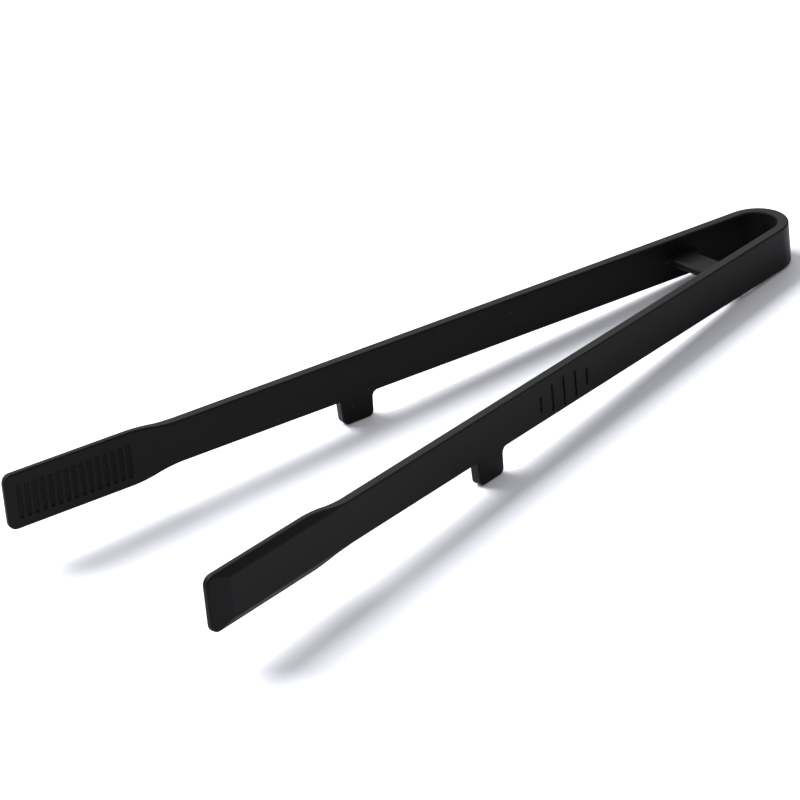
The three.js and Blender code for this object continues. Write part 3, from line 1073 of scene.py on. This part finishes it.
@dataclass
class RibbedJaw(ArmSkin):
    """A flared jaw, bevelled outside and ribbed across its gripping face."""

    start: float = 205.0  # where it starts along the arm
    flare_end: float = 223.0  # where the flare ends
    end: float = 264.8  # where the jaw ends
    flare: float = 2.05  # how far it stands above and below the arm after the flare
    flare_at_end: float = 2.25  # the same at its end
    turn_share: float = 0.96  # the share of the room at each turn of the flare that its rounding takes
    corner: float = 3.0  # the rounding of its end corners
    ridge_inset: float = 0.45  # how far inside the arm's edges the outer face starts to slope away
    ridge_run: float = 9.0  # how far from its start the ridges reach that inset
    ridge_softness: float = 0.35  # the rounding of those ridges, to each side
    edge_slope: float = 0.508  # how steeply it slopes away there
    end_bevel: float = 8.0  # how far from the end it starts to slope towards the end
    end_slope: float = 0.2  # how steeply it slopes there
    end_softness: float = 0.7  # the rounding of that crease, to each side
    end_middle: float = 0.3  # how far beside the crease the face is divided within that rounding
    meeting_softness: float = 0.12  # the rounding where the two slopes meet
    cut_softness: float = 0.4  # how far beside that meeting the face is divided
    flare_cuts: int = 12  # how many times the face is divided along the flare
    core_end: float = 248.25  # where the core's room ends
    groove_count: int = 15  # how many grooves there are between the ribs
    groove_from_end: float = 4.6  # how far the last groove's middle is from the end
    groove_pitch: float = 2.643  # the distance between grooves
    groove_width: float = 1.6  # the width of a groove
    groove_length: float = 11.3  # the length of a groove
    groove_height: float = 6.45  # how high the grooves' middles are
    groove_depth: float = 0.6  # the depth of a groove
    groove_lip: float = 0.12  # the rounding of a groove's lips

    def body(self) -> BMesh:
        """Makes the flared plate, with rounded edges and without bevels or ribs.

        Returns:
            The plate, in the arm's frame.
        """
        bm = bmesh.new()
        turn = (self.flare_end - self.start) / 4
        lower = [(self.start, 0.0), (self.start + turn, 0.0), (self.flare_end - turn, -self.flare),
                 (self.end, -self.flare_at_end)]
        upper = [(x, self.strip.width - z) for x, z in reversed(lower)]
        corners, _ = outline_face(bm, lower + upper)
        for index in (1, 2, 5, 6):
            round_corner(bm, corners[index], turn * self.turn_share, 9)
        for index in (3, 4):
            round_corner(bm, corners[index], self.corner, 9)
        self.strip.plate(bm, bm.faces[:][0], self.at_seam)
        return bm

    def at_seam(self, point: Vector) -> bool:
        """Whether a point is on the plate's cut end."""
        return abs(point.x - self.start) < TOUCH_GAP

    def drop(self, point: Vector) -> float:
        """How far the outer face slopes away at a point.

        Args:
            point: The point, in the arm's frame.

        Returns:
            How far the face lies inside the arm's outer face.
        """
        reach = min(1.0, (point.x - self.start) / self.ridge_run)
        ridge = self.strip.middle - self.ridge_inset * reach * reach * (3 - 2 * reach)
        above = self.soft(abs(point.z - self.strip.middle) - ridge, self.ridge_softness)
        beyond = self.soft(point.x - (self.end - self.end_bevel), self.end_softness)
        beside = above * self.edge_slope * min(1.0, reach * 2)
        ahead = beyond * self.end_slope
        return beside + self.soft(ahead - beside, self.meeting_softness * reach)

    @staticmethod
    def soft(distance: float, reach: float) -> float:
        """Eases a distance past a crease, which is 0 before it.

        Args:
            distance: How far past the crease, negative before it.
            reach: How far to each side of the crease the easing goes.

        Returns:
            The distance, eased.
        """
        if distance <= -reach:
            return 0.0
        return distance if distance >= reach else (distance + reach) ** 2 / (4 * reach)

    def slope(self, bm: BMesh) -> None:
        """Lowers the outer face along its edges and towards its end.

        Args:
            bm: The mesh being built.
        """
        ridge = self.strip.middle - self.ridge_inset
        heights = [self.strip.middle + up * (ridge + shift)
                   for up in (-1, 1) for shift in (-self.ridge_softness, 0.0, self.ridge_softness)]
        crease = self.end - self.end_bevel
        flare = self.flare_end - self.start
        shifts = (self.end_softness, self.end_middle)
        stations = [crease - shift for shift in shifts] + [crease + shift for shift in reversed(shifts)]
        stations += [self.start + flare * cut / self.flare_cuts for cut in range(1, self.flare_cuts + 1)]
        cuts = [(Vector((0.0, 0.0, height)), Vector((0.0, 0.0, 1.0))) for height in heights]
        cuts += [(Vector((station, 0.0, 0.0)), Vector((1.0, 0.0, 0.0))) for station in stations]
        for point, normal in cuts:
            outer = [face for face in bm.faces if face.calc_center_median().y > self.strip.half - 1]
            self.crease(bm, outer, point, normal)
        for up in (-1, 1):
            self.cut_corner(bm, up)
        for vert in bm.verts:
            if vert.co.y > 0:
                vert.co.y -= self.drop(vert.co)

    @staticmethod
    def crease(bm: BMesh, faces: list[BMFace], point: Vector, normal: Vector) -> None:
        """Divides some faces along a plane.

        Args:
            bm: The mesh being built.
            faces: The faces to divide.
            point: A point on the plane.
            normal: The plane's normal.
        """
        edges = {edge for face in faces for edge in face.edges}
        verts = {vert for face in faces for vert in face.verts}
        bmesh.ops.bisect_plane(bm, geom=[*verts, *edges, *faces], plane_co=point, plane_no=normal,
                               dist=LEVEL_GAP)

    def cut_corner(self, bm: BMesh, up: int) -> None:
        """Cuts the crease where an edge's slope meets the end's.

        Args:
            bm: The mesh being built.
            up: 1 for the upper corner, and -1 for the lower one.
        """
        crease = Vector((self.end - self.end_bevel, 0.0,
                         self.strip.middle + up * (self.strip.middle - self.ridge_inset)))
        along = Vector((self.edge_slope, 0.0, up * self.end_slope)).normalized()
        normal = along.cross(Vector((0.0, 1.0, 0.0)))
        for shift in (-self.cut_softness, 0.0, self.cut_softness):
            middles = {face: face.calc_center_median() for face in bm.faces}
            corner = [face for face, middle in middles.items()
                      if middle.x > crease.x - self.end_softness and middle.y > 0
                      and (middle.z - crease.z) * up > -self.cut_softness]
            self.crease(bm, corner, crease + normal * shift, normal)

    def groove_cutter(self) -> BMesh:
        """Makes the round-ended rods that cut the grooves.

        Returns:
            The solids to cut with.
        """
        bm = bmesh.new()
        radius = (self.groove_width ** 2 / 4 + self.groove_depth ** 2) / (2 * self.groove_depth)
        for index in range(self.groove_count):
            x = self.end - self.groove_from_end - index * self.groove_pitch
            y = self.groove_depth - self.strip.half - radius
            capsule(bm, Vector((x, y, self.groove_height)), self.groove_length, radius)
        return bm

    def on_groove_lip(self, point: Vector) -> bool:
        """Whether a point is on the gripping face, round the grooves."""
        reach = self.groove_length / 2 + 0.2
        return (abs(point.y + self.strip.half) < TOUCH_GAP and abs(point.z - self.groove_height) < reach
                and point.x < self.end - self.groove_from_end + self.groove_width)

    def mesh(self) -> BMesh:
        """Slopes the outer face, and cuts the core's room and the grooves.

        Returns:
            The mesh, in the arm's frame.
        """
        bm = self.body()
        self.slope(bm)
        bm = carve(bm, [self.strip.room(self.start - 1, self.core_end), self.groove_cutter()])
        soften_lips(bm, self.on_groove_lip, self.groove_lip)
        return bm

    def build(self, finisher: Finisher) -> None:
        """Builds, dresses and places the jaw.

        Args:
            finisher: What dresses it.
        """
        label = self.side.label
        piece = self.arm_piece(self.mesh(), "jaw_pad")
        finisher.dress(piece, Slot.JAW)
        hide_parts(f"{label}_jaw_skin")
        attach(piece, f"{label}_arm")
        report(piece, f"{label}_arm")


# ---------------------------------------------------------------- the studio


@dataclass(frozen=True)
class Softbox:
    """A square soft light, in metres and watts."""

    name: str  # the light's name
    place: tuple[float, float, float]  # where it hangs
    aim: tuple[float, float, float]  # the point that it faces
    size: tuple[float, float]  # its width and its height
    power: float  # its power

    def build(self) -> None:
        """Hangs the light."""
        light = bpy.data.lights.new(self.name, "AREA")
        light.shape = "RECTANGLE"
        light.size, light.size_y = self.size
        light.energy = self.power
        lamp = bpy.data.objects.new(self.name, light)
        bpy.context.scene.collection.objects.link(lamp)
        lamp.location = self.place
        lamp.rotation_euler = (Vector(self.aim) - Vector(self.place)).to_track_quat("-Z", "Y").to_euler()


@dataclass
class Studio:
    """A pale floor, soft light, and the camera."""

    azimuth: float = 143.14  # which side the camera looks from, in degrees from -Y towards +X
    elevation: float = 28.797  # how high it looks down from, in degrees
    roll: float = -8.751  # how far it is turned about its own view, in degrees
    distance: float = 1.57532  # how far it is from its target, in metres
    target: tuple[float, float, float] = (0.01245, -0.01313, 0.01035)  # the point that it looks at, in metres
    lens: float = 235.13  # its focal length on a 36 mm sensor, in millimetres
    room_light: float = 0.55  # how bright the room is
    floor_size: float = 4.0  # half the width of the floor, in metres
    # the floor's colour, as linear red, green and blue
    floor_colour: tuple[float, float, float] = (0.88, 0.89, 0.95)
    # the lights
    softboxes: list[Softbox] = field(default_factory=lambda: [
        Softbox("overhead", (0.35, -1.0, 1.15), (0.0, 0.0, 0.0), (1.1, 0.9), 44.0),
        Softbox("back", (-0.9, -0.95, 0.75), (-0.05, 0.0, 0.0), (0.9, 0.6), 2.5),
    ])

    def camera(self) -> None:
        """Sets the camera up."""
        azimuth, elevation = math.radians(self.azimuth), math.radians(self.elevation)
        out = Vector((math.sin(azimuth) * math.cos(elevation), -math.cos(azimuth) * math.cos(elevation),
                      math.sin(elevation)))
        level_right = Vector((0.0, 0.0, 1.0)).cross(out).normalized()
        level_up = out.cross(level_right)
        roll = math.radians(self.roll)
        right = level_right * math.cos(roll) + level_up * math.sin(roll)
        turn = Matrix((right, out.cross(right), out)).transposed().to_4x4()
        data = bpy.data.cameras.new("camera")
        data.lens = self.lens
        data.sensor_width = 36.0
        data.clip_end = 20.0
        camera = bpy.data.objects.new("camera", data)
        bpy.context.scene.collection.objects.link(camera)
        camera.matrix_world = Matrix.Translation(Vector(self.target) + out * self.distance) @ turn
        bpy.context.scene.camera = camera

    def floor(self) -> None:
        """Lays the floor."""
        bm = bmesh.new()
        bmesh.ops.create_grid(bm, x_segments=1, y_segments=1, size=self.floor_size)
        mesh = bpy.data.meshes.new("floor")
        bm.to_mesh(mesh)
        bm.free()
        floor = bpy.data.objects.new("floor", mesh)
        bpy.context.scene.collection.objects.link(floor)
        material = bpy.data.materials.new("pale_floor")
        material.use_nodes = True
        shader = material.node_tree.nodes["Principled BSDF"]
        shader.inputs["Base Color"].default_value = (*self.floor_colour, 1.0)
        shader.inputs["Roughness"].default_value = 0.8
        mesh.materials.append(material)

    def room(self) -> None:
        """Fills the room with even light and shows colours plainly."""
        world = bpy.data.worlds.new("room")
        world.use_nodes = True
        background = world.node_tree.nodes["Background"]
        background.inputs["Color"].default_value = (1.0, 1.0, 1.0, 1.0)
        background.inputs["Strength"].default_value = self.room_light
        bpy.context.scene.world = world
        bpy.context.scene.view_settings.view_transform = "Standard"

    def build(self) -> None:
        """Sets the whole studio up."""
        self.camera()
        self.floor()
        self.room()
        for softbox in self.softboxes:
            softbox.build()


ROOT_HINGE = 42.0  # how far along an arm its first hinge is
BENDS = (  # each bend, where its skin starts and ends, and where its bending starts and ends
    (Bend.ROOT, 30.0, 56.0, 30.0, 54.0),
    (Bend.MID, 56.0, 90.0, 60.0, 88.0),
)


def main() -> None:
    """Builds the tongs and the studio."""
    logging.basicConfig(level=logging.INFO, format="%(name)s: %(message)s")
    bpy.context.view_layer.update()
    strip = Strip()
    setting = Setting.from_joints(root_along=ROOT_HINGE, height=strip.middle)
    finisher = Finisher()
    web = BridgeWeb(setting, strip)
    SpringBow(setting, strip, web).build(finisher)
    web.build(finisher)
    for side in Side:
        for bend, *stretch in BENDS:
            BendingSkin(setting, strip, side, bend, *stretch).build(finisher)
        GripArm(setting, strip, side).build(finisher)
        RibbedJaw(setting, strip, side).build(finisher)
    Studio().build()


if __name__ == "__main__":
    main()
